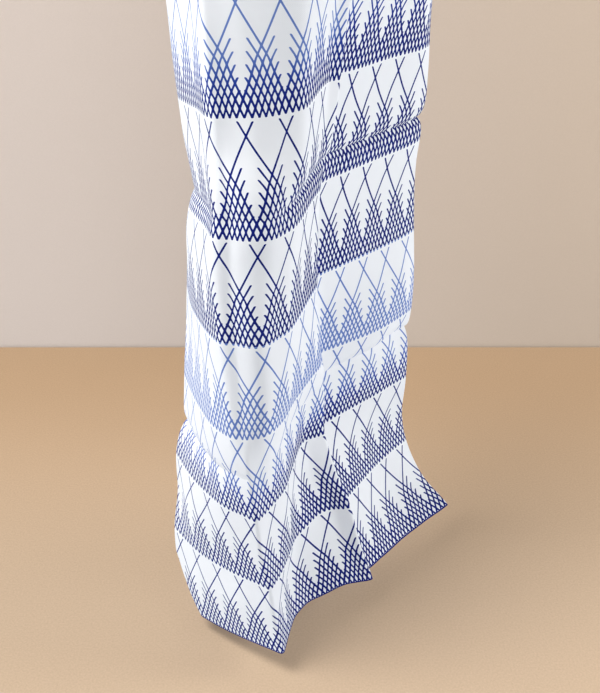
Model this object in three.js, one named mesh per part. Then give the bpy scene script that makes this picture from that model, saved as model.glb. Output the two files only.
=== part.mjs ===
// Tenugui: a long, thin cotton hand towel, hung from its top edge and seen as it falls.
//
// Millimetres, +Z up. The origin is the middle of the top edge, and the cloth hangs down from it
// to about z = -900. The viewer stands on the -Y side, with +X to the right.
//
// The cloth is one rectangular sheet. It was stored folded: lengthwise into three, and across
// every 205 mm, so it still has two standing ridges down its length and soft creases across it.
// Hung up, it falls in an uneven zigzag, and its lower end opens out below the lowest crease.
// A position on the sheet is given as `across`, from the left selvedge, and `down`, from the top
// edge, both measured along the cloth.

import * as THREE from 'three';

// The cut cloth.
const WIDTH = 346;
const LENGTH = 900;
const THICKNESS = 1.2;

// The strips that lie side by side across the cloth, from the left selvedge to the right one,
// and the folds between them: where each fold runs, and how wide the cloth is where it turns.
const STRIPS = [
  'edgeLeft', 'left', 'leftFront', 'ridgeSide', 'front', 'turnFront', 'turnBack',
  'side', 'sideEnd', 'facing', 'behind', 'right', 'rightFar', 'edgeRight',
];
const FOLDS = [
  { name: 'left edge curl', across: 36, turn: 26 },
  { name: 'left panel bow', across: 82, turn: 26 },
  { name: 'left ridge shoulder', across: 104, turn: 12 },
  { name: 'left standing ridge', across: 115, turn: 6 },
  { name: 'front bow', across: 134, turn: 20 },
  { name: 'front to side', across: 154, turn: 18 },
  { name: 'side bow', across: 172, turn: 18 },
  { name: 'side end', across: 205, turn: 18 },
  { name: 'hidden valley', across: 221, turn: 7 },
  { name: 'right standing ridge', across: 231, turn: 4 },
  { name: 'right panel start', across: 241, turn: 8 },
  { name: 'right panel bow', across: 300, turn: 44 },
  { name: 'right edge curl', across: 332, turn: 20 },
];

// How the cloth lies at a few heights, seen from above: the heading of each strip in degrees,
// left to right, where 0 faces the viewer, 90 runs straight back and -90 comes straight forward,
// and then the place of the cloth's middle.
const SECTION_COLUMNS = ['down', ...STRIPS, 'middleX', 'middleY'];
const SECTION_ROWS = [
  [0, -105, -68, -74, -76, -6, -4, 14, 54, 64, 25, 60, 52, 55, 66, 0, 0],
  [330, -105, -56, -82, -86, -9, -6, 9, 44, 62, 30, 50, 50, 60, 78, 0, -5],
  [412, -105, -66, -73, -62, 3, -6, 22, 69, 68, 38, 90, 50, 47, 78, 3, -9],
  [470, -104, -67, -77, -54, -8, 2, 42, 74, 74, 44, 106, 48, 44, 56, 3, -8],
  [504, -98, -70, -80, -34, -14, 24, 58, 74, 76, 66, 70, 48, 45, 56, 2, -8],
  [545, -88, -70, -72, -20, -11, 32, 68, 74, 72, 104, 48, 48, 46, 52, -1, -6],
  [600, -80, -72, -63, -24, -8, 46, 69, 72, 74, 103, 49, 45, 46, 52, -2, -3],
  [650, -74, -71, -56, -22, 2, 56, 72, 66, 76, 98, 76, 37, 44, 66, -2, 2],
  [700, -72, -66, -48, -31, 34, 67, 74, 66, 58, 58, 120, 38, 51, 44, -7, 12],
  [750, -64, -56, -39, -39, 56, 62, 78, 77, 46, 32, 118, 42, 43, 48, -7, 19],
  [790, -68, -46, -38, -40, 60, 60, 84, 70, 18, 20, 120, 54, 48, 45, -6, 24],
  [825, -54, -43, -36, -38, 64, 74, 76, 52, 18, 6, 116, 60, 50, 52, -3, 28],
  [862, -52, -41, -31, -30, 73, 84, 62, 34, 18, 4, 116, 57, 44, 46, -1, 30],
  [900, -40, -37, -33, -30, 78, 77, 52, 21, 18, 10, 128, 48, 34, 28, 8, 28],
];

// The top edge isn't held quite level: its height above the origin at a few places across.
const TOP_EDGE = [
  { across: 0, rise: -18 },
  { across: 60, rise: -12 },
  { across: 115, rise: -4 },
  { across: 173, rise: 0 },
  { across: 205, rise: 2 },
  { across: 231, rise: 0 },
  { across: 262, rise: -3 },
  { across: 346, rise: -3 },
];

// The storage creases across the cloth: how far down each of the three runs, at a few places
// across. Each is named as a column.
const CREASE_LINES = [
  { across: 0, first: 306, second: 513, third: 717 },
  { across: 60, first: 305, second: 514, third: 716 },
  { across: 115, first: 304, second: 516, third: 711 },
  { across: 160, first: 302, second: 511, third: 707 },
  { across: 231, first: 300, second: 509, third: 702 },
  { across: 346, first: 298, second: 508, third: 698 },
];

// How far the dent of each storage crease reaches up and down the cloth.
const CREASE_REACH = [
  { name: 'first', up: 12, below: 9 },
  { name: 'second', up: 9, below: 6 },
  { name: 'third', up: 6, below: 9 },
];

// How far each of the storage creases dents the cloth inwards, at a few places across.
const CREASE_DENTS = [
  { across: 0, first: 1.5, second: 3.5, third: 5.5 },
  { across: 60, first: 1.5, second: 3, third: 3.5 },
  { across: 115, first: 1.2, second: 1, third: 1.5 },
  { across: 150, first: 1.2, second: 1.8, third: 1.5 },
  { across: 175, first: 1.5, second: 4.5, third: 2.5 },
  { across: 231, first: 1.5, second: 4, third: 1.8 },
  { across: 262, first: 1.5, second: 6, third: 5.2 },
  { across: 300, first: 1.5, second: 6.2, third: 5.4 },
  { across: 346, first: 1.8, second: 7.5, third: 6 },
];

// The lower left corner is turned back: the line it turns along, from a place on the selvedge to
// a place on the hem, the radius it turns with, and how far it turns.
const CORNER_LINE = { down: 848, across: 32 };
const CORNER_RADIUS = 6;
const CORNER_TURN = THREE.MathUtils.degToRad(110);

// The mesh: the widest cell across, the usual row height, how far the finer rows beside a crease
// reach above and below it, and their height.
const CELL_WIDTH = 13;
const ROW_HEIGHT = 36;
const CREASE_MARGIN = 8;
const CREASE_ROW_HEIGHT = 5;
const TRACE_STEP = 0.5;

const SECTIONS = SECTION_ROWS.map((row) =>
  Object.fromEntries(SECTION_COLUMNS.map((name, i) => [name, row[i]])));

// A smooth curve through (key, value) rows: a cubic between each pair, level with the chord of
// its neighbours.
function smoothValue(rows, key, value, at) {
  const last = rows.length - 1;
  const slope = (i) => {
    const before = rows[Math.max(i - 1, 0)];
    const after = rows[Math.min(i + 1, last)];
    return (after[value] - before[value]) / (after[key] - before[key]);
  };
  let i = 0;
  while (i < last - 1 && rows[i + 1][key] < at) i += 1;
  const span = rows[i + 1][key] - rows[i][key];
  const t = (at - rows[i][key]) / span;
  return (1 + 2 * t) * (1 - t) ** 2 * rows[i][value]
    + t * (1 - t) ** 2 * span * slope(i)
    + t ** 2 * (3 - 2 * t) * rows[i + 1][value]
    - t ** 2 * (1 - t) * span * slope(i + 1);
}

// The lie of the cloth at any height, as one section row.
function sectionAt(down) {
  return Object.fromEntries(SECTION_COLUMNS.map((name) =>
    [name, name === 'down' ? down : smoothValue(SECTIONS, 'down', name, down)]));
}

// The heading, in radians, at a place across a section: each fold turns it from one strip's
// heading to the next.
function headingAt(section, across) {
  let heading = section[STRIPS[0]];
  FOLDS.forEach((fold, i) => {
    const start = fold.across - fold.turn / 2;
    const turned = THREE.MathUtils.smoothstep(across, start, start + fold.turn);
    heading += (section[STRIPS[i + 1]] - section[STRIPS[i]]) * turned;
  });
  return THREE.MathUtils.degToRad(heading);
}

// How far down a named storage crease runs at a place across.
function creaseDownAt(name, across) {
  const next = Math.max(CREASE_LINES.findIndex((row) => row.across >= across), 1);
  const before = CREASE_LINES[next - 1];
  const after = CREASE_LINES[next];
  const t = (across - before.across) / (after.across - before.across);
  return before[name] + (after[name] - before[name]) * t;
}

// How far the storage creases push the cloth in at a place.
function dentAt(across, down) {
  return CREASE_REACH.reduce((sum, crease) => {
    const past = down - creaseDownAt(crease.name, across);
    const reach = past < 0 ? crease.up : crease.below;
    const depth = smoothValue(CREASE_DENTS, 'across', crease.name, across);
    return sum + depth * Math.exp(-Math.abs(past) / reach);
  }, 0);
}

// The plan of the cloth at a height: a point for each of the given places across.
function planAt(down, places) {
  const section = sectionAt(down);
  const steps = Math.round(WIDTH / TRACE_STEP);
  const trace = [new THREE.Vector2(0, 0)];
  for (let i = 0; i < steps; i += 1) {
    const heading = headingAt(section, (i + 0.5) * TRACE_STEP);
    const stride = new THREE.Vector2(Math.cos(heading), Math.sin(heading)).multiplyScalar(TRACE_STEP);
    trace.push(trace[i].clone().add(stride));
  }
  const middle = trace[Math.round(steps / 2)];
  return places.map((across) => {
    const point = trace[Math.round(across / TRACE_STEP)].clone().sub(middle);
    const heading = headingAt(section, across);
    point.x += section.middleX - Math.sin(heading) * dentAt(across, down);
    point.y += section.middleY + Math.cos(heading) * dentAt(across, down);
    return point;
  });
}

// Mesh columns: the middle and both ends of every fold, and enough between them.
function placesAcross() {
  const marks = [0, WIDTH];
  for (const fold of FOLDS) {
    marks.push(fold.across - fold.turn / 2, fold.across, fold.across + fold.turn / 2);
  }
  return filledOut(marks, CELL_WIDTH);
}

// Mesh rows: finer rows wherever a storage crease runs, and enough between them.
function placesDown() {
  const marks = [0, LENGTH];
  for (const { name } of CREASE_REACH) {
    const downs = CREASE_LINES.map((row) => row[name]);
    const start = Math.min(...downs) - CREASE_MARGIN;
    const end = Math.max(...downs) + CREASE_MARGIN;
    const count = Math.ceil((end - start) / CREASE_ROW_HEIGHT);
    for (let k = 0; k <= count; k += 1) marks.push(start + ((end - start) * k) / count);
  }
  return filledOut(marks, ROW_HEIGHT);
}

// The marks in order, without near doubles, with even places added where two are far apart.
function filledOut(marks, widest) {
  const sorted = [...marks].sort((a, b) => a - b);
  const clear = sorted.filter((mark, i) => i === 0 || mark - sorted[i - 1] > TRACE_STEP);
  const places = [clear[0]];
  for (let i = 1; i < clear.length; i += 1) {
    const gap = clear[i] - clear[i - 1];
    const parts = Math.ceil(gap / widest);
    for (let k = 1; k <= parts; k += 1) places.push(clear[i - 1] + (gap * k) / parts);
  }
  return places;
}

// The middle surface of the hanging cloth, as rows of points. Each column keeps its length: what
// it moves sideways from one row to the next, it doesn't fall.
function hangingSurface(across, down) {
  const rise = across.map((place) => smoothValue(TOP_EDGE, 'across', 'rise', place));
  const rows = [];
  down.forEach((height, j) => {
    const plan = planAt(height, across);
    rows.push(plan.map((point, i) => {
      if (j === 0) return new THREE.Vector3(point.x, point.y, rise[i]);
      const above = rows[j - 1][i];
      const aside = Math.hypot(point.x - above.x, point.y - above.y);
      const fall = Math.sqrt(Math.max((height - down[j - 1]) ** 2 - aside ** 2, 0));
      return new THREE.Vector3(point.x, point.y, above.z - fall);
    }));
  });
  return rows;
}

// The surface's own directions at a point: to the right, down, and out to the front.
function directionsAt(rows, i, j) {
  const right = rows[j][Math.min(i + 1, rows[j].length - 1)].clone()
    .sub(rows[j][Math.max(i - 1, 0)]).normalize();
  const downward = rows[Math.min(j + 1, rows.length - 1)][i].clone()
    .sub(rows[Math.max(j - 1, 0)][i]).normalize();
  const front = downward.clone().cross(right).normalize();
  return { right, downward, front };
}

// The surface with its lower left corner rolled to the back, around the corner line.
function withCornerTurned(rows, across, down) {
  const alongHem = CORNER_LINE.across;
  const alongSelvedge = LENGTH - CORNER_LINE.down;
  const length = Math.hypot(alongHem, alongSelvedge);
  return rows.map((row, j) => row.map((point, i) => {
    const past = (alongHem * (down[j] - CORNER_LINE.down) - alongSelvedge * across[i]) / length;
    if (past <= 0) return point;
    const { right, downward, front } = directionsAt(rows, i, j);
    const outward = downward.multiplyScalar(alongHem / length)
      .addScaledVector(right, -alongSelvedge / length);
    const turned = Math.min(past / CORNER_RADIUS, CORNER_TURN);
    const straight = past - CORNER_RADIUS * turned;
    const out = CORNER_RADIUS * Math.sin(turned) + straight * Math.cos(turned);
    const back = CORNER_RADIUS * (1 - Math.cos(turned)) + straight * Math.sin(turned);
    return point.clone().addScaledVector(outward, out - past).addScaledVector(front, -back);
  }));
}

// A closed solid of even thickness around the surface: its front, its back and its four edges.
function clothGeometry() {
  const across = placesAcross();
  const down = placesDown();
  const rows = withCornerTurned(hangingSurface(across, down), across, down);
  const columns = across.length;
  const layer = columns * down.length;
  const positions = [];
  for (const side of [0.5, -0.5]) {
    rows.forEach((row, j) => row.forEach((point, i) => {
      const { front } = directionsAt(rows, i, j);
      const vertex = point.clone().addScaledVector(front, side * THICKNESS);
      positions.push(vertex.x, vertex.y, vertex.z);
    }));
  }
  const indices = [];
  const quad = (a, b, c, d) => indices.push(a, b, c, a, c, d);
  const front = (i, j) => j * columns + i;
  const back = (i, j) => layer + front(i, j);
  for (let j = 0; j < down.length - 1; j += 1) {
    for (let i = 0; i < columns - 1; i += 1) {
      quad(front(i, j), front(i, j + 1), front(i + 1, j + 1), front(i + 1, j));
      quad(back(i, j), back(i + 1, j), back(i + 1, j + 1), back(i, j + 1));
    }
  }
  const right = columns - 1;
  const bottom = down.length - 1;
  for (let j = 0; j < bottom; j += 1) {
    quad(front(0, j), back(0, j), back(0, j + 1), front(0, j + 1));
    quad(front(right, j), front(right, j + 1), back(right, j + 1), back(right, j));
  }
  for (let i = 0; i < right; i += 1) {
    quad(front(i, 0), front(i + 1, 0), back(i + 1, 0), back(i, 0));
    quad(front(i, bottom), back(i, bottom), back(i + 1, bottom), front(i + 1, bottom));
  }
  const geometry = new THREE.BufferGeometry();
  geometry.setAttribute('position', new THREE.Float32BufferAttribute(positions, 3));
  geometry.setIndex(indices);
  geometry.computeVertexNormals();
  return geometry;
}

function makeCloth() {
  const cotton = new THREE.MeshStandardMaterial({ color: 0xeceef2, roughness: 0.9, metalness: 0 });
  const cloth = new THREE.Mesh(clothGeometry(), cotton);
  cloth.name = 'cloth';
  return cloth;
}

const group = new THREE.Group();
group.add(makeCloth());

export default group;
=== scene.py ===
# A tenugui, the long, thin cotton hand towel, hung from its top edge and dressed for its picture.
#
# The cloth is one dyed sheet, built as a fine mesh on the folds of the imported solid. A place on it
# is given as `across`, from the left selvedge, and `down`, from the top edge, in millimetres along
# the cloth. The viewer stands on the -Y side, with +X to the right and +Z up.
#
# It was stored folded: lengthwise into three, and across about every 205 mm. Hung up, it still
# has two standing ridges down its length and three soft creases across it.
import math

import bpy
import numpy as np
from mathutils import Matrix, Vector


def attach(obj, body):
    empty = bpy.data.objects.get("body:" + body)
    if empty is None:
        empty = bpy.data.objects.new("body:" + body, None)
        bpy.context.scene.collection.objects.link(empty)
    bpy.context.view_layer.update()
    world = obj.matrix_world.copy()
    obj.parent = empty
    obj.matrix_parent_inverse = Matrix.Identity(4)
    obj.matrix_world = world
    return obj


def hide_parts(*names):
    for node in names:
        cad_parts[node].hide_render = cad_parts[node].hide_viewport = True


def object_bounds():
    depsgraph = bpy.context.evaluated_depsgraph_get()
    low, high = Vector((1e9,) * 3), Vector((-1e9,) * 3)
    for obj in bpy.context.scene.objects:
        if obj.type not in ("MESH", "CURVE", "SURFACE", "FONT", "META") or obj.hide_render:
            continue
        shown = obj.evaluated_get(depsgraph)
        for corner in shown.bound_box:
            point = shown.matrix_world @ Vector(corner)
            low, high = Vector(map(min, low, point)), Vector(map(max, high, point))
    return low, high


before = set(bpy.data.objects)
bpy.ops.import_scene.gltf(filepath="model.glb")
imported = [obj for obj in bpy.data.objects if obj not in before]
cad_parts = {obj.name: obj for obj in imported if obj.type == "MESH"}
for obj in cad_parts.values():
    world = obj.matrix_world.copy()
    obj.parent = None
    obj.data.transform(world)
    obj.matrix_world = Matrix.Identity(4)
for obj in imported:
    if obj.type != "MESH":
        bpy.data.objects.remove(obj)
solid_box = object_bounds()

MM = 0.001

# ---------------------------------------------------------------------------------------------
# How the cloth lies, in millimetres and degrees
# ---------------------------------------------------------------------------------------------

# The cut cloth.
WIDTH = 346
LENGTH = 900
THICKNESS = 0.5

# The strips side by side across the cloth, from the left selvedge to the right one, and the
# folds between them: where each fold runs, and how wide the cloth is where it turns.
STRIPS = (
    "edge_left", "left", "left_front", "ridge_side", "front", "turn_front", "turn_back",
    "side", "side_end", "facing", "behind", "right", "right_far", "edge_right",
)
FOLDS = (
    ("left edge curl", 36, 26),
    ("left panel bow", 82, 26),
    ("left ridge shoulder", 104, 12),
    ("left standing ridge", 115, 6),
    ("front bow", 134, 20),
    ("front to side", 154, 18),
    ("side bow", 172, 18),
    ("side end", 205, 18),
    ("hidden valley", 221, 7),
    ("right standing ridge", 231, 4),
    ("right panel start", 241, 8),
    ("right panel bow", 300, 44),
    ("right edge curl", 332, 20),
)

# How the cloth lies at a few heights, seen from above: how far down, then the heading of each
# strip (0 faces the viewer, 90 runs straight back, -90 comes straight forward), and then the
# place of the cloth's middle, x and y.
SECTIONS = (
    (0, -105, -68, -74, -76, -6, -4, 14, 54, 64, 25, 60, 52, 55, 66, 0, 0),
    (330, -105, -56, -82, -86, -9, -6, 9, 44, 62, 30, 50, 50, 60, 78, 0, -5),
    (412, -105, -66, -73, -62, 3, -6, 22, 69, 68, 38, 90, 50, 47, 78, 3, -9),
    (470, -104, -67, -77, -54, -8, 2, 42, 74, 74, 44, 106, 48, 44, 56, 3, -8),
    (504, -98, -70, -80, -34, -14, 24, 58, 74, 76, 66, 70, 48, 45, 56, 2, -8),
    (545, -88, -70, -72, -20, -11, 32, 68, 74, 72, 104, 48, 48, 46, 52, -1, -6),
    (600, -80, -72, -63, -24, -8, 46, 69, 72, 74, 103, 49, 45, 46, 52, -2, -3),
    (650, -74, -71, -56, -22, 2, 56, 72, 66, 76, 98, 76, 37, 44, 66, -2, 2),
    (700, -72, -66, -48, -31, 34, 67, 74, 66, 58, 58, 120, 38, 51, 44, -7, 12),
    (750, -64, -56, -39, -39, 56, 62, 78, 77, 46, 32, 118, 42, 43, 48, -7, 19),
    (790, -68, -46, -38, -40, 60, 60, 84, 70, 18, 20, 120, 54, 48, 45, -6, 24),
    (825, -54, -43, -36, -38, 64, 74, 76, 52, 18, 6, 116, 60, 50, 52, -3, 28),
    (862, -52, -41, -31, -30, 73, 84, 62, 34, 18, 4, 116, 57, 44, 46, -1, 30),
    (900, -40, -37, -33, -30, 78, 77, 52, 21, 18, 10, 128, 48, 34, 28, 8, 28),
)

# The top edge isn't held quite level: its height above the origin at a few places across.
TOP_EDGE = (
    (0, -18), (60, -12), (115, -4), (173, 0), (205, 2), (231, 0), (262, -3), (346, -3),
)

# The three storage creases across the cloth: how far down each of them runs at a few places
# across, and how far up and down the cloth the dent of each reaches. Then how far each of them
# dents the cloth inwards at a few places across.
CREASE_LINES = (
    (0, 306, 513, 717),
    (60, 305, 514, 716),
    (115, 304, 516, 711),
    (160, 302, 511, 707),
    (231, 300, 509, 702),
    (346, 298, 508, 698),
)
CREASE_REACH = ((12, 9), (9, 6), (6, 9))
CREASE_DENTS = (
    (0, 1.5, 3.5, 5.5),
    (60, 1.5, 3.0, 3.5),
    (115, 1.2, 1.0, 1.5),
    (150, 1.2, 1.8, 1.5),
    (175, 1.5, 4.5, 2.5),
    (231, 1.5, 4.0, 1.8),
    (262, 1.5, 6.0, 5.2),
    (300, 1.5, 6.2, 5.4),
    (346, 1.8, 7.5, 6.0),
)

# Soft swells and troughs that the hanging cloth keeps, each along a line of places across and
# down: its height towards the front, below 0 for a trough, how wide it is to each side, and over
# what length it fades away at each end.
SWELLS = (
    ("groove beside the ridge", ((117, 450), (115, 560), (114, 660), (115, 705)), -2.4, 5, 40),
    ("swell beside the groove", ((131, 540), (129, 620), (128, 700)), 2.0, 7, 50),
    ("front panel swell", ((130, 300), (137, 420), (141, 490), (140, 560)), 2.2, 9, 50),
    ("front panel dip", ((155, 360), (158, 470), (152, 560), (147, 650)), -1.6, 8, 60),
    ("middle lobe hollow", ((212, 720), (215, 800), (217, 890)), -1.6, 6, 30),
)

# The lower left corner is turned to the back, along a line from a place down the selvedge to a
# place across the lower end: the radius it turns with, and how far it turns.
CORNER_DOWN = 848
CORNER_ACROSS = 32
CORNER_RADIUS = 6
CORNER_TURN = 110

# The mesh across the cloth: the widest cell, and the cell at a sharp fold, which is one that
# turns in less than SHARP_FOLD. Down it: the usual row, the row at a storage crease, and how far
# past the crease such rows go on. The first and last cell are narrow both ways, for crisp edges.
CELL_WIDTH = 2.7
CELL_AT_FOLD = 1.0
SHARP_FOLD = 8
ROW_HEIGHT = 3.4
ROW_AT_CREASE = 1.1
CREASE_MARGIN = 3
EDGE_CELL = 0.7

# The step by which the cloth is followed across and down.
TRACE_STEP = 0.5


def smooth_curve(table, at):
    """The rest of a table's columns, at values of its first one: a cubic from each row to the
    next, whose slope at a row is that of the chord between its neighbours."""
    table = np.array(table, float)
    keys = table[:, 0]
    values = table[:, 1:]
    before = np.maximum(np.arange(len(keys)) - 1, 0)
    after = np.minimum(np.arange(len(keys)) + 1, len(keys) - 1)
    slopes = (values[after] - values[before]) / (keys[after] - keys[before])[:, None]
    i = np.clip(np.searchsorted(keys, at) - 1, 0, len(keys) - 2)
    span = (keys[i + 1] - keys[i])[:, None]
    t = (at - keys[i])[:, None] / span
    return (
        (1 + 2 * t) * (1 - t) ** 2 * values[i]
        + t * (1 - t) ** 2 * span * slopes[i]
        + t**2 * (3 - 2 * t) * values[i + 1]
        - t**2 * (1 - t) * span * slopes[i + 1]
    )


def smoothstep(value, start, end):
    """0 before start and 1 after end, and smooth between them."""
    t = np.clip((value - start) / (end - start), 0, 1)
    return t * t * (3 - 2 * t)


def unit(vectors):
    """The vectors, each brought to a length of 1."""
    return vectors / np.linalg.norm(vectors, axis=-1, keepdims=True)


def headings_at(strip_headings, across):
    """The heading, in radians, at each place across: each fold turns it to the next strip's."""
    turned = np.array([smoothstep(across, at - turn / 2, at + turn / 2) for _, at, turn in FOLDS])
    return np.radians(strip_headings[:, :1] + np.diff(strip_headings, axis=1) @ turned)


def crease_dent(across, down):
    """How far the storage creases push the cloth in, at each height and place across."""
    crossings, *lines = np.array(CREASE_LINES, float).T
    depths = smooth_curve(CREASE_DENTS, across).T
    dent = np.zeros((len(down), len(across)))
    for (up, below), line, depth in zip(CREASE_REACH, lines, depths):
        past = down[:, None] - np.interp(across, crossings, line)
        dent += depth * np.exp(-abs(past) / np.where(past < 0, up, below))
    return dent


def followed(strides, middle, across):
    """Where the strides from the left selvedge lead at each place across, along one axis, once
    the cloth's middle is in its place."""
    marks = np.arange(strides.shape[1] + 1) * TRACE_STEP
    start = np.zeros((len(strides), 1))
    path = np.hstack((start, np.cumsum(strides, axis=1))) * TRACE_STEP
    path += (middle - path[:, len(marks) // 2])[:, None]
    return np.array([np.interp(across, marks, row) for row in path])


def plans_at(across, down):
    """The cloth seen from above at each height: x and y, a row for each height."""
    sections = smooth_curve(SECTIONS, down)
    strip_headings = sections[:, : len(STRIPS)]
    middle_x, middle_y = sections[:, len(STRIPS):].T
    strides = headings_at(strip_headings, np.arange(TRACE_STEP / 2, WIDTH, TRACE_STEP))
    headings = headings_at(strip_headings, across)
    dent = crease_dent(across, down)
    x = followed(np.cos(strides), middle_x, across) - np.sin(headings) * dent
    y = followed(np.sin(strides), middle_y, across) + np.cos(headings) * dent
    return x, y


def hanging_surface(across, down):
    """The middle surface of the cloth. What a column moves sideways from one row to the next, it
    doesn't fall."""
    x, y = plans_at(across, down)
    rise = smooth_curve(TOP_EDGE, across)[:, 0]
    aside = np.hypot(np.diff(x, axis=0), np.diff(y, axis=0))
    fall = np.sqrt(np.maximum(np.diff(down)[:, None] ** 2 - aside**2, 0))
    z = np.vstack((rise, rise - np.cumsum(fall, axis=0)))
    return np.stack((x, y, z), axis=-1)


def front_normals(surface):
    """The surface's normals, pointing to the front."""
    right = np.gradient(surface, axis=1)
    downward = np.gradient(surface, axis=0)
    return unit(np.cross(downward, right))


def turn_corner_back(surface, across, down):
    """The surface with its lower left corner rolled to the back, around the corner line."""
    along_end = CORNER_ACROSS
    along_selvedge = LENGTH - CORNER_DOWN
    length = math.hypot(along_end, along_selvedge)
    past = (along_end * (down[:, None] - CORNER_DOWN) - along_selvedge * across) / length
    past = np.maximum(past, 0)
    right = unit(np.gradient(surface, axis=1))
    downward = unit(np.gradient(surface, axis=0))
    outward = (along_end * downward - along_selvedge * right) / length
    turned = np.minimum(past / CORNER_RADIUS, math.radians(CORNER_TURN))
    straight = past - CORNER_RADIUS * turned
    out = CORNER_RADIUS * np.sin(turned) + straight * np.cos(turned)
    back = CORNER_RADIUS * (1 - np.cos(turned)) + straight * np.sin(turned)
    return surface + (out - past)[..., None] * outward - back[..., None] * front_normals(surface)


def nearest_on_line(line, across, down):
    """How far each place is from a line of places, how far along the line its nearest point
    comes, and how long the line is."""
    distance = np.full((len(down), len(across)), np.inf)
    along = np.zeros_like(distance)
    length = 0.0
    for (start_across, start_down), (end_across, end_down) in zip(line, line[1:]):
        run_across = end_across - start_across
        run_down = end_down - start_down
        run = math.hypot(run_across, run_down)
        aside = across[None, :] - start_across
        below = down[:, None] - start_down
        share = np.clip((aside * run_across + below * run_down) / run**2, 0, 1)
        gap = np.hypot(aside - share * run_across, below - share * run_down)
        nearer = gap < distance
        distance = np.where(nearer, gap, distance)
        along = np.where(nearer, length + share * run, along)
        length += run
    return distance, along, length


def swell_height(across, down):
    """How far the soft swells and troughs move the cloth towards the front."""
    total = np.zeros((len(down), len(across)))
    for _, line, height, width, fade in SWELLS:
        distance, along, length = nearest_on_line(line, across, down)
        ends = smoothstep(along, 0, fade) * smoothstep(length - along, 0, fade)
        total += height * ends * np.exp(-((distance / width) ** 2))
    return total


def spread_places(length, density):
    """Places from 0 to a length that lie closer together where the density is higher."""
    trace = np.arange(0, length + TRACE_STEP / 2, TRACE_STEP)
    count = np.concatenate(([0], np.cumsum(density[1:] + density[:-1]) / 2 * TRACE_STEP))
    even = np.linspace(0, count[-1], round(count[-1]) + 1)
    places = np.interp(even, count, trace)
    return np.concatenate(([0, EDGE_CELL], places[1:-1], [length - EDGE_CELL, length]))


def places_across():
    """Mesh columns: close together at the sharp folds, and one narrow column at each selvedge."""
    trace = np.arange(0, WIDTH + TRACE_STEP / 2, TRACE_STEP)
    density = np.full(len(trace), 1 / CELL_WIDTH)
    for _, at, turn in FOLDS:
        if turn < SHARP_FOLD:
            density += (1 / CELL_AT_FOLD - 1 / CELL_WIDTH) * np.exp(-((trace - at) / turn) ** 2)
    return spread_places(WIDTH, density)


def places_down():
    """Mesh rows: close together where a storage crease runs, and one narrow row at each end."""
    trace = np.arange(0, LENGTH + TRACE_STEP / 2, TRACE_STEP)
    density = np.full(len(trace), 1 / ROW_HEIGHT)
    for line in np.array(CREASE_LINES).T[1:]:
        beyond = abs(trace - np.clip(trace, line.min(), line.max())) / CREASE_MARGIN
        density += (1 / ROW_AT_CREASE - 1 / ROW_HEIGHT) * np.exp(-(beyond**2))
    return spread_places(LENGTH, density)


def two_layers(surface):
    """The points of the cloth's front and then of its back, on both sides of its middle."""
    outward = front_normals(surface) * THICKNESS / 2
    return np.concatenate(((surface + outward).reshape(-1, 3), (surface - outward).reshape(-1, 3)))


def sheet_faces(rows, columns):
    """The faces of a closed sheet of two layers: its front, its back and its rim."""
    layer = rows * columns
    index = np.arange(layer).reshape(rows, columns)
    a, b, c, d = index[:-1, :-1], index[1:, :-1], index[1:, 1:], index[:-1, 1:]
    front = np.stack((a, b, c, d), axis=-1).reshape(-1, 4)
    back = np.stack((a, d, c, b), axis=-1).reshape(-1, 4) + layer
    edge = np.concatenate((index[:, 0], index[-1, 1:], index[-2::-1, -1], index[0, -2:0:-1]))
    ahead = np.roll(edge, -1)
    rim = np.stack((edge, edge + layer, ahead + layer, ahead), axis=-1)
    return np.concatenate((front, back, rim))


def sheet_mesh(name):
    """The cloth as a closed sheet, with its two UV maps."""
    across = places_across()
    down = places_down()
    surface = turn_corner_back(hanging_surface(across, down), across, down)
    surface += front_normals(surface) * swell_height(across, down)[..., None]
    faces = sheet_faces(len(down), len(across))
    mesh = bpy.data.meshes.new(name)
    mesh.from_pydata((two_layers(surface) * MM).tolist(), [], faces.tolist())
    mesh.polygons.foreach_set("use_smooth", np.ones(len(faces), bool))
    places = np.stack(np.broadcast_arrays(across[None, :], down[:, None]), axis=-1)
    places = np.tile(places.reshape(-1, 2), (2, 1))[faces.reshape(-1)]
    add_uv_map(mesh, "Sheet", places * MM)
    add_uv_map(mesh, "OFBake", bake_layout(places))
    mesh.validate()
    return mesh


def add_uv_map(mesh, name, coordinates):
    layer = mesh.uv_layers.new(name=name)
    layer.data.foreach_set("uv", coordinates.astype(np.float32).reshape(-1))


def bake_layout(places):
    """The whole cloth over the whole unit square, so that a bake spends its pixels evenly."""
    margin = 0.004
    return margin + (1 - 2 * margin) * places * (1 / WIDTH, -1 / LENGTH) + (0, 1 - 2 * margin)


# ---------------------------------------------------------------------------------------------
# The dyed pattern: rows of drying nets, charted in repeats
# ---------------------------------------------------------------------------------------------

# One net's width, one row's drop and the axis of the first net, in millimetres.
NET_WIDTH = 25
ROW_DROP = 75
FIRST_NET = 21.25

# A net is charted with heights in rows, from the row's top, and sideways measures in nets, from
# the net's axis. It has two long lines, and one leans each way. They start at LONG_START, cross on
# the axis at APEX and cross the next nets' lines at FOOT. They run sideways by UPPER_SLOPE nets to
# a row through APEX, and by LOWER_SLOPE through FOOT.
LONG_START = 0.052
APEX = 0.477
FOOT = 0.872
UPPER_SLOPE = 1.587
LOWER_SLOPE = 1.17

# Strands run along a long line on its inner side. Counted from it, a strand starts at
# STRANDS_START plus its number times STRAND_STEP. From FOOT down they lie STRAND_GAP apart, and
# above it further apart, by GAP_GROWTH to a row.
STRANDS = 5
STRANDS_START = 0.324
STRAND_STEP = 0.097
STRAND_GAP = 1 / 6
GAP_GROWTH = 0.09

# The lines crowd towards the net's axis in its lower part: by how much, and between which
# heights this sets in.
CROWDING = 0.02
CROWDING_START = (0.45, 0.75)

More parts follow.
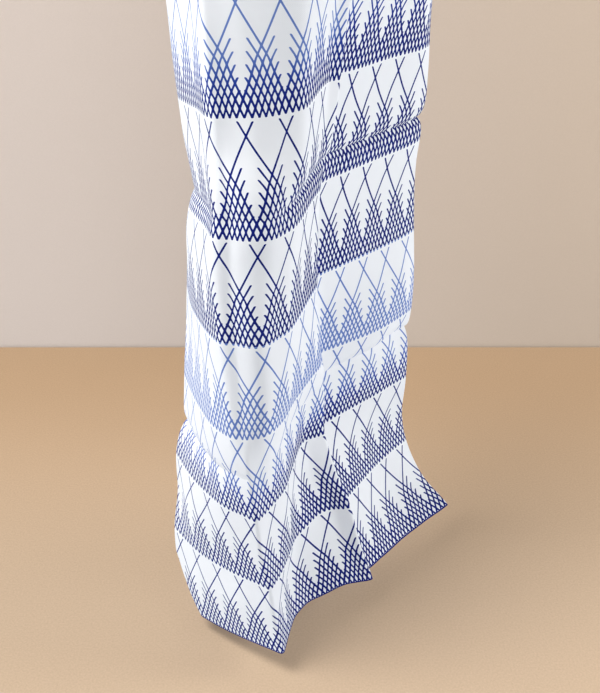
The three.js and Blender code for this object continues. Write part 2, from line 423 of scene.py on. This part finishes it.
# A row starts a little below its top, and its meshes end a little below the next row's.
ROW_START = 0.035
ROW_END = 1.012

# The lines, in millimetres: their width and how soft their sides are, and how far the dye fills
# the corners where two of them cross. LEAN is what is left of a distance straight across when it
# is measured square to a leaning line. One more line closes the lower end of the cloth.
LINE_WIDTH = 1.12
LINE_SOFTNESS = 0.25
CROSSING_FILLET = 0.7
LEAN = 0.9
END_LINE = 1.2
END_LINE_SOFTNESS = 0.3

# How far the dye crept past its lines, in millimetres, and then in shares of that by place: least
# at the left selvedge, 1 more after each of two rises across the cloth, and less on the lower
# right, which is given by where it sets in across and where it sets in down.
SPREAD = 0.12
SPREAD_AT_LEFT = -0.8
SPREAD_RISES = ((20, 120), (150, 210))
SPREAD_AT_LOWER_RIGHT = -0.7
LOWER_RIGHT = ((240, 300), (500, 620))

# One indigo dye on a near-white ground: how strongly the dye absorbs red, green and blue.
INDIGO = (6.2, 4.65, 1.75)
GROUND = (0.86, 0.875, 0.90)

# How strong the dye is goes by rows, and starts again after four of them: a light row, one that
# darkens over its lower half, and two dark ones. On the upper right, which is given by where it
# sets in across and where it ends down, the darkening comes sooner by a share of the row.
ROW_CYCLE = 4
LIGHT_STRENGTH = 0.31
DARKENING_ROW = 1
DARKENING = (0.5, 1.0)
SOONER = 0.35
UPPER_RIGHT = ((215, 262), (380, 480))

# Noise in the dye: how fine it is, in grains to a metre, and the range over which it moves the
# sides of the lines, in millimetres, or changes the amount of dye, as a share of it.
WANDER = (160, 0.16)
UNEVENNESS = (45, 0.25)

# The slubs of the yarn, long grains that run along the threads: their fineness, their width as a
# share of their length, the shade they leave the ground in, and their part in the relief and in
# the roughness.
SLUB_FINENESS = 900
SLUB_SHAPE = 0.06
SLUB_SHADE = 0.975
SLUB_RELIEF = 1.2
SLUB_ROUGHNESS = 0.08

# The weave: the width of a thread and the depth of the relief, in millimetres, how strongly the
# relief shows, and how matt the cotton is.
THREAD_WIDTH = 0.55
WEAVE_DEPTH = 0.12
WEAVE_STRENGTH = 0.35
COTTON_ROUGHNESS = 0.9

# How strongly the cotton and the paper of the stage shine, where 0.5 is usual.
SPECULAR = 0.2


class Signal:
    """A number carried by a shader socket, so that a formula reads as one."""

    def __init__(self, tree, socket):
        self.tree = tree
        self.socket = socket

    def feed(self, socket, value):
        """Give a socket a value, which is a signal or a plain number."""
        if isinstance(value, Signal):
            self.tree.links.new(value.socket, socket)
        else:
            socket.default_value = value

    def math(self, operation, *others):
        node = self.tree.nodes.new("ShaderNodeMath")
        node.operation = operation
        for socket, value in zip(node.inputs, (self, *others)):
            self.feed(socket, value)
        return Signal(self.tree, node.outputs[0])

    def __add__(self, other):
        return self.math("ADD", other)

    def __sub__(self, other):
        return self.math("SUBTRACT", other)

    def __mul__(self, other):
        return self.math("MULTIPLY", other)

    def __truediv__(self, other):
        return self.math("DIVIDE", other)

    def __neg__(self):
        return self.math("MULTIPLY", -1)

    def above(self, low):
        return self.math("MAXIMUM", low)

    def below(self, high):
        return self.math("MINIMUM", high)

    def squared(self):
        return self * self

    def root(self):
        return self.math("SQRT")

    def step(self, start, end):
        """0 before start and 1 after end, and smooth between them."""
        node = self.tree.nodes.new("ShaderNodeMapRange")
        node.interpolation_type = "SMOOTHSTEP"
        for name, value in (("Value", self), ("From Min", start), ("From Max", end)):
            self.feed(node.inputs[name], value)
        return Signal(self.tree, node.outputs["Result"])


def long_line(height):
    """Where a net's long line runs at a height in its row, in nets from the net's axis."""
    upper = (height - APEX) * UPPER_SLOPE
    lower = (height - FOOT) * LOWER_SLOPE + 0.5
    return upper.below(lower)


def strand_gap(height):
    """How far apart the strands of a net lie at a height in its row, in nets."""
    return (-height + FOOT).above(0) * GAP_GROWTH + STRAND_GAP


def leaning_lines(sideways, height):
    """How far, in millimetres, a place is from the lines of a net that lean one way."""
    net_width = LEAN * NET_WIDTH
    offset = long_line(height) - sideways
    above_long = (-height + LONG_START).above(0) * ROW_DROP
    beside_long = offset.math("WRAP", 0.5, -0.5) * net_width
    to_long = (beside_long.squared() + above_long.squared()).root()
    gap = strand_gap(height)
    strand = (offset / gap).math("ROUND").above(1).below(STRANDS)
    above_strand = (strand * STRAND_STEP + STRANDS_START - height).above(0) * ROW_DROP
    beside_strand = (offset - strand * gap) * net_width
    to_strand = (beside_strand.squared() + above_strand.squared()).root()
    return to_long.below(to_strand)


def net_lines(across, down, spread):
    """How much dye lies at a place: 1 on a line of the nets, 0 on the white ground."""
    height = (down / ROW_DROP - ROW_START).math("FRACT") + ROW_START
    inside = height.below(ROW_END)
    sideways = ((across - FIRST_NET) / NET_WIDTH).math("WRAP", 0.5, -0.5)
    crowding = (sideways * math.tau).math("SINE") * height.step(*CROWDING_START) * CROWDING
    crowded = sideways + crowding
    leaning_right = leaning_lines(crowded, inside)
    leaning_left = leaning_lines(-crowded, inside)
    beside = leaning_right.math("SMOOTH_MIN", leaning_left, CROSSING_FILLET)
    below_row = (height - inside) * ROW_DROP
    distance = (beside.squared() + below_row.squared()).root()
    edge = spread + LINE_WIDTH / 2
    soft = LINE_SOFTNESS / 2
    return -distance.step(edge - soft, edge + soft) + 1


def dye_spread(across, down):
    """How far the dye crept past its lines at a place, in shares of SPREAD."""
    first_rise, second_rise = SPREAD_RISES
    rises = across.step(*first_rise) + across.step(*second_rise)
    sets_in_across, sets_in_down = LOWER_RIGHT
    lower_right = across.step(*sets_in_across) * down.step(*sets_in_down)
    return rises + lower_right * SPREAD_AT_LOWER_RIGHT + SPREAD_AT_LEFT


def row_strength(across, down):
    """How strong the dye is at a place, by the row that it lies in."""
    rows_down = down / ROW_DROP
    row = rows_down.math("FLOOR").math("WRAP", ROW_CYCLE, 0)
    sets_in_across, ends_down = UPPER_RIGHT
    upper_right = across.step(*sets_in_across) * (-down.step(*ends_down) + 1)
    darkening = (rows_down.math("FRACT") + upper_right * SOONER).step(*DARKENING)
    in_darkening_row = row.math("COMPARE", DARKENING_ROW, 0.5)
    dark = row.math("GREATER_THAN", DARKENING_ROW + 0.5) + in_darkening_row * darkening
    return dark * (1 - LIGHT_STRENGTH) + LIGHT_STRENGTH


def weave_height(across, down):
    """A plain weave: each thread passes over and under the threads that cross it."""
    turn = math.pi / THREAD_WIDTH
    return (across * turn).math("SINE") * (down * turn).math("SINE")


def noise(tree, vector, fineness, stretch=(1, 1, 1)):
    """Soft noise around 0, from about -0.5 to 0.5."""
    mapping = tree.nodes.new("ShaderNodeMapping")
    mapping.inputs["Scale"].default_value = stretch
    tree.links.new(vector, mapping.inputs["Vector"])
    texture = tree.nodes.new("ShaderNodeTexNoise")
    texture.inputs["Scale"].default_value = fineness
    tree.links.new(mapping.outputs["Vector"], texture.inputs["Vector"])
    return Signal(tree, texture.outputs["Fac"]) - 0.5


def slubs(tree, vector):
    """Noise around 0, in long grains along the threads both ways."""
    along_down = noise(tree, vector, SLUB_FINENESS, stretch=(1, SLUB_SHAPE, 1))
    along_across = noise(tree, vector, SLUB_FINENESS, stretch=(SLUB_SHAPE, 1, 1))
    return along_down + along_across


def mixed(tree, amount, first, second):
    """A colour between two others, each a colour or a socket."""
    node = tree.nodes.new("ShaderNodeMix")
    node.data_type = "RGBA"
    tree.links.new(amount.socket, node.inputs["Factor"])
    for name, colour in (("A", first), ("B", second)):
        socket = next(s for s in node.inputs if s.name == name and s.type == "RGBA")
        if isinstance(colour, tuple):
            socket.default_value = (*colour, 1)
        else:
            tree.links.new(colour, socket)
    return next(s for s in node.outputs if s.type == "RGBA")


def dyed(tree, ground, dye):
    """The ground as it shows through the dye: the more dye, the less of each colour comes back."""
    passed = tree.nodes.new("ShaderNodeCombineColor")
    for name, absorbed in zip(("Red", "Green", "Blue"), INDIGO):
        tree.links.new((dye * -absorbed).math("EXPONENT").socket, passed.inputs[name])
    product = tree.nodes.new("ShaderNodeVectorMath")
    product.operation = "MULTIPLY"
    tree.links.new(ground, product.inputs[0])
    tree.links.new(passed.outputs["Color"], product.inputs[1])
    return product.outputs["Vector"]


def separated(tree, vector):
    """The sockets X, Y and Z of a vector."""
    parts = tree.nodes.new("ShaderNodeSeparateXYZ")
    tree.links.new(vector, parts.inputs["Vector"])
    return parts.outputs


def new_material(name, roughness):
    """A new material, its node tree and its shader."""
    material = bpy.data.materials.new(name)
    material.use_nodes = True
    shader = material.node_tree.nodes["Principled BSDF"]
    shader.inputs["Roughness"].default_value = roughness
    shader.inputs["Specular IOR Level"].default_value = SPECULAR
    return material, material.node_tree, shader


def cotton_material():
    """Thin plain-woven cotton, dyed through in rows of drying nets, in one indigo."""
    material, tree, shader = new_material("dyed_cotton", COTTON_ROUGHNESS)
    sheet_map = tree.nodes.new("ShaderNodeUVMap")
    sheet_map.uv_map = "Sheet"
    place = sheet_map.outputs["UV"]
    parts = separated(tree, place)
    across = Signal(tree, parts["X"]) / MM
    down = Signal(tree, parts["Y"]) / MM

    fineness, reach = WANDER
    spread = noise(tree, place, fineness) * reach + dye_spread(across, down) * SPREAD
    end_line = down.step(LENGTH - END_LINE, LENGTH - END_LINE + END_LINE_SOFTNESS)
    lines = net_lines(across, down, spread).above(end_line)
    fineness, reach = UNEVENNESS
    unevenness = noise(tree, place, fineness) * reach + 1
    dye = lines * row_strength(across, down) * unevenness

    slub = slubs(tree, place)
    shaded = tuple(SLUB_SHADE * channel for channel in GROUND)
    ground = mixed(tree, slub * 0.5 + 0.5, shaded, GROUND)
    tree.links.new(dyed(tree, ground, dye), shader.inputs["Base Color"])

    bump = tree.nodes.new("ShaderNodeBump")
    bump.inputs["Strength"].default_value = WEAVE_STRENGTH
    bump.inputs["Distance"].default_value = WEAVE_DEPTH * MM
    relief = weave_height(across, down) + slub * SLUB_RELIEF
    tree.links.new(relief.socket, bump.inputs["Height"])
    tree.links.new(bump.outputs["Normal"], shader.inputs["Normal"])
    roughness = slub * SLUB_ROUGHNESS + COTTON_ROUGHNESS
    tree.links.new(roughness.socket, shader.inputs["Roughness"])
    return material


# ---------------------------------------------------------------------------------------------
# The place it is pictured in, in metres
# ---------------------------------------------------------------------------------------------

# The camera: its place, how many degrees it looks down, and its lens and sensor in millimetres.
CAMERA_PLACE = (0.0, -0.600, -0.250)
CAMERA_PITCH = 31.8
LENS = 53.5
SENSOR_WIDTH = 36

# The floor lies just below the cloth. The wall stands where the camera's line of sight meets the
# floor, which stops short of it. The wall goes on below the floor, and both reach far out.
FLOOR_GAP = 0.017
FLOOR_HEIGHT = solid_box[0][2] - FLOOR_GAP
WALL_DISTANCE = (CAMERA_PLACE[2] - FLOOR_HEIGHT) / math.tan(math.radians(CAMERA_PITCH))
WALL_PLACE = CAMERA_PLACE[1] + WALL_DISTANCE
JOINT_GAP = 0.002
WALL_FOOT = 0.05
STAGE_REACH = 3.0

# The papers of the floor and the wall: two colours, the axis along which the first one changes to
# the second, between which places it does so, and how strong the grain is. The change is painted
# shade where the lamps' light falls off: the floor darkens from near to far, the wall left to right.
FLOOR_PAPER_AND_PAINTED_SHADE = ((0.53, 0.39, 0.265), (0.455, 0.297, 0.171), "Y", (0, 0.45), 0.3)
WALL_PAPER_AND_PAINTED_SHADE = ((0.655, 0.555, 0.48), (0.59, 0.468, 0.36), "X", (-0.4, 0.4), 0.08)
PAPER_FINENESS = 600
PAPER_ROUGHNESS = 0.95
PAPER_BOUNCE = (0.62, 0.63, 0.66)

# The lamps: where each one is, the place it faces, how wide it is, and its power in watts. The
# room adds an even white light.
LAMPS = (
    ("left_softbox", (-1.6, 0.05, -0.62), (0, 0, -0.65), 0.9, 8),
    ("overhead", (-0.75, -0.35, 1.05), (0, 0, -0.6), 0.8, 31),
    ("right_fill", (1.3, 0.05, -0.2), (0.3, -0.1, -0.9), 0.7, 10.5),
    ("low_fill", (0.2, -1.4, -0.6), (0, 0, -0.9), 0.6, 2.6),
)
ROOM_LIGHT = 0.28


def add_object(name, data):
    """A new object in the scene."""
    added = bpy.data.objects.new(name, data)
    bpy.context.scene.collection.objects.link(added)
    return added


def add_camera():
    """The camera, which looks straight back and down."""
    data = bpy.data.cameras.new("camera")
    data.lens = LENS
    data.sensor_width = SENSOR_WIDTH
    camera = add_object("camera", data)
    camera.location = CAMERA_PLACE
    camera.rotation_euler = (math.radians(90 - CAMERA_PITCH), 0, 0)
    bpy.context.scene.camera = camera


def add_cloth():
    """The cloth itself, the one piece that is dressed."""
    mesh = sheet_mesh("tenugui_cloth")
    mesh.materials.append(cotton_material())
    cloth = add_object("tenugui_cloth", mesh)
    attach(cloth, "root")
    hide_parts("cloth")


def paper_with_painted_shade_material(name, first, second, axis, span, grain):
    """A matt paper with a fine grain that lightens and darkens it, and with painted shade: its
    colour goes a little darker along one axis, where the lamps' light falls off. It throws a plain
    grey light back on the cloth."""
    material, tree, shader = new_material(name, PAPER_ROUGHNESS)
    place = tree.nodes.new("ShaderNodeNewGeometry").outputs["Position"]
    # Painted shade: the paper's colour darkens along the axis, where the lamps' light falls off.
    painted_shade = Signal(tree, separated(tree, place)[axis]).step(*span)
    light = noise(tree, place, PAPER_FINENESS) * grain + 1
    toned = tree.nodes.new("ShaderNodeVectorMath")
    toned.operation = "SCALE"
    tree.links.new(mixed(tree, painted_shade, first, second), toned.inputs[0])
    tree.links.new(light.socket, toned.inputs["Scale"])
    seen = Signal(tree, tree.nodes.new("ShaderNodeLightPath").outputs["Is Camera Ray"])
    colour = mixed(tree, seen, PAPER_BOUNCE, toned.outputs["Vector"])
    tree.links.new(colour, shader.inputs["Base Color"])
    clear_from_behind(tree, shader)
    return material


def clear_from_behind(tree, shader):
    """Leave a sheet of paper out of views from behind it, so that it never hides the cloth."""
    behind = tree.nodes.new("ShaderNodeNewGeometry").outputs["Backfacing"]
    clear = tree.nodes.new("ShaderNodeBsdfTransparent")
    choice = tree.nodes.new("ShaderNodeMixShader")
    tree.links.new(behind, choice.inputs[0])
    tree.links.new(shader.outputs["BSDF"], choice.inputs[1])
    tree.links.new(clear.outputs["BSDF"], choice.inputs[2])
    surface = tree.nodes["Material Output"].inputs["Surface"]
    tree.links.new(choice.outputs["Shader"], surface)


def add_paper(name, material, start, end):
    """A sheet of paper as wide as the stage, from one place to another, each given as y and z."""
    sides = (-STAGE_REACH, start), (STAGE_REACH, start), (STAGE_REACH, end), (-STAGE_REACH, end)
    mesh = bpy.data.meshes.new(name)
    mesh.from_pydata([(x, *place) for x, place in sides], [], [(0, 1, 2, 3)])
    mesh.materials.append(material)
    add_object(name, mesh)


def add_stage():
    """The floor and the wall behind the cloth."""
    # Both papers carry painted shade: the floor darkens towards the wall, and the wall to the right.
    floor_paper_painted_shade = paper_with_painted_shade_material("floor_paper_painted_shade", *FLOOR_PAPER_AND_PAINTED_SHADE)
    floor_near = (-STAGE_REACH, FLOOR_HEIGHT)
    floor_far = (WALL_PLACE - JOINT_GAP, FLOOR_HEIGHT)
    add_paper("floor", floor_paper_painted_shade, floor_near, floor_far)
    # Painted shade: the wall paper goes darker from left to right, away from the left lamp.
    wall_paper_painted_shade = paper_with_painted_shade_material("wall_paper_painted_shade", *WALL_PAPER_AND_PAINTED_SHADE)
    wall_foot = (WALL_PLACE, FLOOR_HEIGHT - WALL_FOOT)
    wall_top = (WALL_PLACE, FLOOR_HEIGHT + STAGE_REACH)
    add_paper("backdrop", wall_paper_painted_shade, wall_foot, wall_top)


def add_lamp(name, place, target, width, watts):
    """A round soft lamp that faces its target."""
    data = bpy.data.lights.new(name, "AREA")
    data.shape = "DISK"
    data.size = width
    data.energy = watts
    lamp = add_object(name, data)
    lamp.location = place
    x, y, z = np.array(target) - np.array(place)
    lamp.rotation_euler = (math.atan2(math.hypot(x, y), -z), 0, math.atan2(-x, y))


def add_room_light():
    """The even light that the room throws from all around."""
    world = bpy.data.worlds.new("room")
    world.use_nodes = True
    background = world.node_tree.nodes["Background"]
    background.inputs["Color"].default_value = (1, 1, 1, 1)
    background.inputs["Strength"].default_value = ROOM_LIGHT
    bpy.context.scene.world = world


add_camera()
add_cloth()
add_stage()
for lamp in LAMPS:
    add_lamp(*lamp)
add_room_light()
bpy.context.scene.view_settings.view_transform = "Standard"
